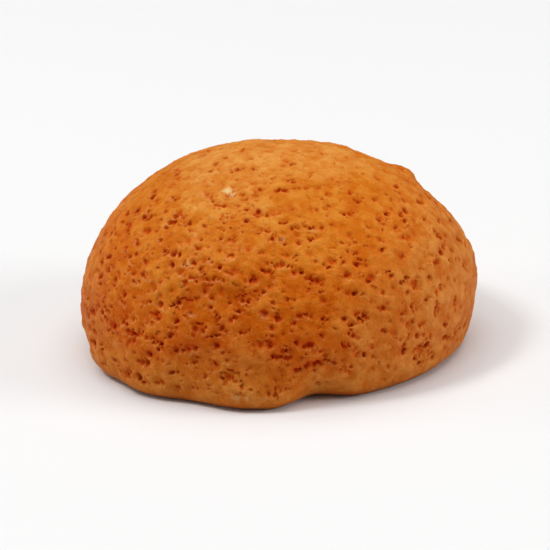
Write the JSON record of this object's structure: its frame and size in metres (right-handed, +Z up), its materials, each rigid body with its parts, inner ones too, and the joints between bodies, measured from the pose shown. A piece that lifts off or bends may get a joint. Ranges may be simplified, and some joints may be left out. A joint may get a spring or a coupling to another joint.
{
  "type": "mocha bread",
  "caption": "Round sweet bun with a domed, pitted coffee crust, an uneven foot and a flat underside to stand on.",
  "frame": {"origin": "under the middle of the bounding box, on the plane that the bun stands on", "axes": "+Z up from the flat underside to the crown, -Y towards the viewer of the picture, +X to the viewer's right"},
  "size_m": [0.1084, 0.1068, 0.0545],
  "materials": {
    "coffee_crust": "dry baked crust with a faint sheen, golden to deep brown, darker in its pits"
  },
  "bodies": {
    "root": {"bun": "coffee_crust"}
  },
  "joints": []
}
